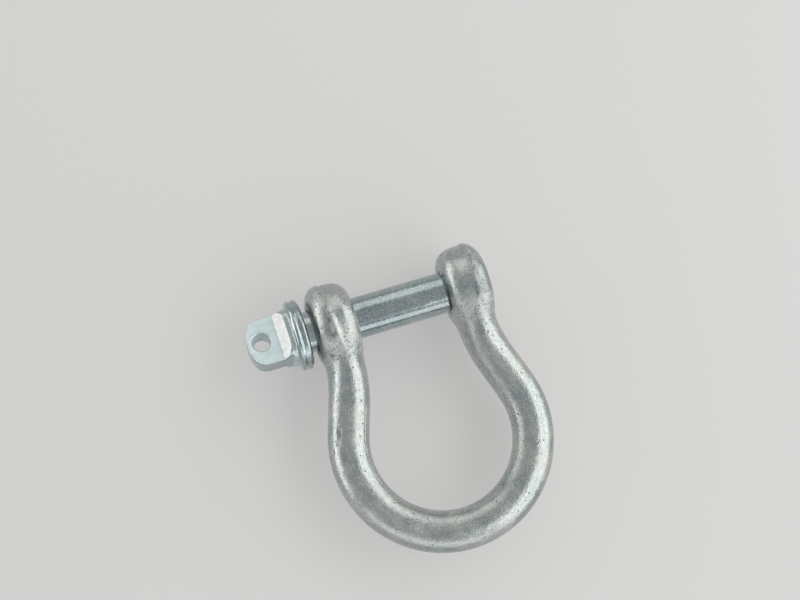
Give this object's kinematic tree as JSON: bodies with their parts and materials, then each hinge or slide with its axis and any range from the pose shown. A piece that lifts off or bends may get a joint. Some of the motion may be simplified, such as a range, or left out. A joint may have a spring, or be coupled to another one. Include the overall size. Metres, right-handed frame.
{
  "type": "bow shackle",
  "caption": "Galvanised forged bow shackle with a wide round bow, two eyes and a removable screw pin with a collar and a flat eye tab.",
  "frame": {"origin": "on the pin's axis, midway between the two eyes", "axes": "+X along the pin from its head to its threaded tip, -Y from the pin to the crown of the bow, +Z square to the plane of the bow"},
  "size_m": [0.1033, 0.1127, 0.0334],
  "materials": {
    "galvanised_bow": "hot-dip galvanised forged steel, mottled, finely pitted and slightly lumpy",
    "galvanised_pin": "galvanised forged steel, smoother and bluer than the bow, matte on the tab's flats"
  },
  "bodies": {
    "bow": {"bow": "galvanised_bow"},
    "screw_pin": {"screw_pin": "galvanised_pin"}
  },
  "joints": [
    {"name": "pin_withdraw", "type": "slide", "parent": "bow", "child": "screw_pin", "axis": [-1, 0, 0], "range_m": [0, 0.072]}
  ]
}
